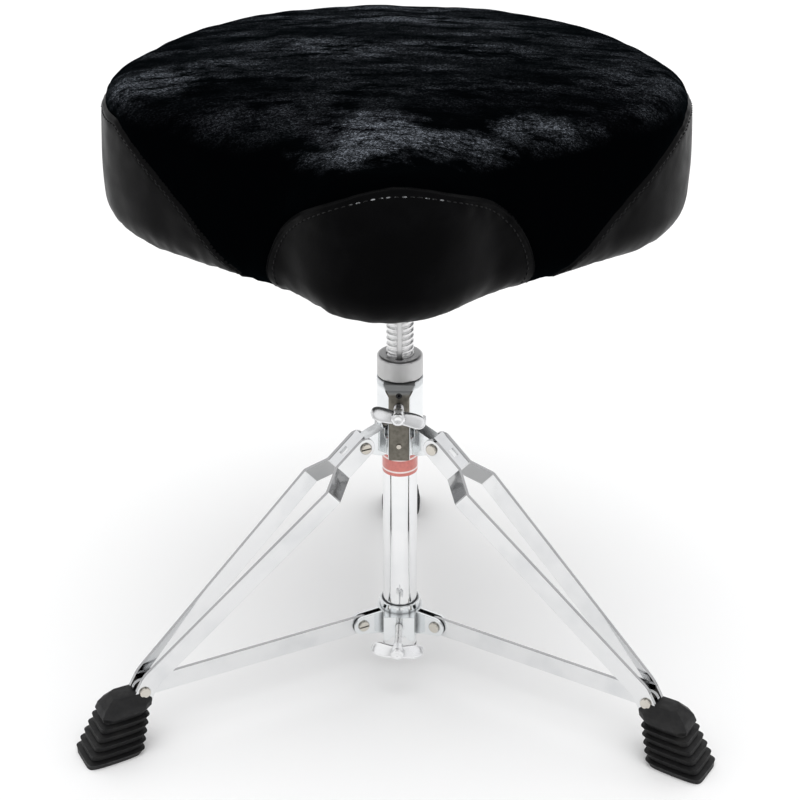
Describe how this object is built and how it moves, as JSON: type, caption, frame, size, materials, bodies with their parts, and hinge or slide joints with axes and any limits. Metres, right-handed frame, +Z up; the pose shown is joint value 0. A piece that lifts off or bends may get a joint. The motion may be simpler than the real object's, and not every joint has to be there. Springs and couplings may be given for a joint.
{
  "type": "drum throne",
  "caption": "Padded saddle seat on a threaded height rod, carried by a folding tripod of paired strap legs, braces, a sliding hub and rubber feet",
  "frame": {"origin": "on the floor under the post's axis", "axes": "+Z up, the seat's nose towards -Y, one leg back along +Y, two degrees round from it"},
  "size_m": [0.5216, 0.493, 0.531],
  "materials": {
    "chrome_tube": "bright chrome plated steel tube",
    "chrome_casting": "polished chrome plated casting",
    "chrome_strap": "chrome plated flat steel strap",
    "chrome_small": "chrome plated fastener",
    "zinc_steel": "zinc plated steel",
    "dark_steel": "black painted steel",
    "red_band": "glossy red film with fine light lines",
    "nylon": "black nylon",
    "foot_rubber": "matt black rubber",
    "velour": "black crushed velour",
    "vinyl": "black grained vinyl",
    "foam": "open cell foam",
    "plywood": "birch plywood",
    "dust_cloth": "thin black non-woven cloth"
  },
  "bodies": {
    "post": {"post_tube": "chrome_tube", "post_end_cap": "nylon", "post_band": "red_band", "top_casting": "chrome_casting", "casting_rivets": "chrome_small", "casting_set_screw": "dark_steel", "height_nut": "chrome_casting", "leg_pivot_screws": "chrome_small", "leg_pivot_nuts": "chrome_small"},
    "hub": {"hub_liner": "nylon", "hub_sleeve": "chrome_casting", "hub_yoke": "chrome_casting", "brace_pivot_screws": "chrome_small", "brace_pivot_nuts": "chrome_small"},
    "top_lock": {"top_wing_screw": "chrome_small"},
    "hub_lock": {"hub_wing_screw": "chrome_small"},
    "plug": {"rod_guide_plug": "nylon"},
    "seat": {"height_rod": "chrome_tube", "seat_cover_nose": "vinyl", "seat_cover_side_left": "vinyl", "seat_cover_side_right": "vinyl", "seat_cover_top": "velour", "seat_board": "plywood", "seat_pad": "foam", "seat_dust_cover": "dust_cloth", "seat_mount_plate": "dark_steel", "seat_socket": "dark_steel", "socket_clamp_bolt": "zinc_steel", "socket_clamp_nut": "zinc_steel", "seat_screws": "zinc_steel", "seat_tee_nuts": "zinc_steel"},
    "leg_left": {"leg_left_strap_near": "chrome_strap", "leg_left_strap_far": "chrome_strap", "leg_left_bridge": "chrome_strap", "leg_left_joint_rivets": "chrome_small", "leg_left_rubber_foot": "foot_rubber"},
    "brace_left": {"brace_left": "chrome_strap", "brace_left_bushes": "nylon"},
    "leg_right": {"leg_right_strap_near": "chrome_strap", "leg_right_strap_far": "chrome_strap", "leg_right_bridge": "chrome_strap", "leg_right_joint_rivets": "chrome_small", "leg_right_rubber_foot": "foot_rubber"},
    "brace_right": {"brace_right": "chrome_strap", "brace_right_bushes": "nylon"},
    "leg_rear": {"leg_rear_strap_near": "chrome_strap", "leg_rear_strap_far": "chrome_strap", "leg_rear_bridge": "chrome_strap", "leg_rear_joint_rivets": "chrome_small", "leg_rear_rubber_foot": "foot_rubber"},
    "brace_rear": {"brace_rear": "chrome_strap", "brace_rear_bushes": "nylon"}
  },
  "joints": [
    {"name": "leg_left_fold", "type": "hinge", "parent": "post", "child": "leg_left", "pos_m": [-0.03118, -0.018, 0.226], "axis": [0.5, -0.866, 0], "range_deg": [0, 42]},
    {"name": "leg_right_fold", "type": "hinge", "parent": "post", "child": "leg_right", "pos_m": [0.03118, -0.018, 0.226], "axis": [0.5, 0.866, 0], "range_deg": [0, 42]},
    {"name": "leg_rear_fold", "type": "hinge", "parent": "post", "child": "leg_rear", "pos_m": [-0.00119, 0.03598, 0.226], "axis": [-0.9995, -0.0332, 0], "range_deg": [0, 42]},
    {"name": "hub_slide", "type": "slide", "parent": "post", "child": "hub", "axis": [0, 0, 1], "range_m": [0, 0.1078]},
    {"name": "brace_left_swing", "type": "hinge", "parent": "hub", "child": "brace_left", "pos_m": [-0.03204, -0.0185, 0.0525], "axis": [0.5, -0.866, 0], "range_deg": [0, 81.03]},
    {"name": "brace_right_swing", "type": "hinge", "parent": "hub", "child": "brace_right", "pos_m": [0.03204, -0.0185, 0.0525], "axis": [0.5, 0.866, 0], "range_deg": [0, 81.03]},
    {"name": "brace_rear_swing", "type": "hinge", "parent": "hub", "child": "brace_rear", "pos_m": [-0.00123, 0.03698, 0.0525], "axis": [-0.9995, -0.0332, 0], "range_deg": [0, 81.03]},
    {"name": "guide_plug_slide", "type": "slide", "parent": "post", "child": "plug", "axis": [0, 0, 1], "range_m": [-0.055, 0.075]},
    {"name": "seat_screw", "type": "hinge", "parent": "plug", "child": "seat", "pos_m": [0, 0, 0.3], "axis": [0, 0, 1], "range_deg": [-3960, 5400]},
    {"name": "top_lock_turn", "type": "hinge", "parent": "post", "child": "top_lock", "pos_m": [0, -0.03, 0.262], "axis": [0, -1, 0], "range_deg": [0, 720]},
    {"name": "hub_lock_turn", "type": "hinge", "parent": "hub", "child": "hub_lock", "pos_m": [0, -0.05, 0.0525], "axis": [0, -1, 0], "range_deg": [0, 720]}
  ],
  "couplings": [
    {"joint": "leg_left_fold", "follows": "leg_rear_fold", "ratio": 1},
    {"joint": "leg_right_fold", "follows": "leg_rear_fold", "ratio": 1},
    {"joint": "hub_slide", "follows": "leg_rear_fold", "m_per_rad": 0.14705},
    {"joint": "brace_left_swing", "follows": "leg_rear_fold", "ratio": 1.9292},
    {"joint": "brace_right_swing", "follows": "leg_rear_fold", "ratio": 1.9292},
    {"joint": "brace_rear_swing", "follows": "leg_rear_fold", "ratio": 1.9292},
    {"joint": "guide_plug_slide", "follows": "seat_screw", "m_per_rad": 0.00079577}
  ]
}
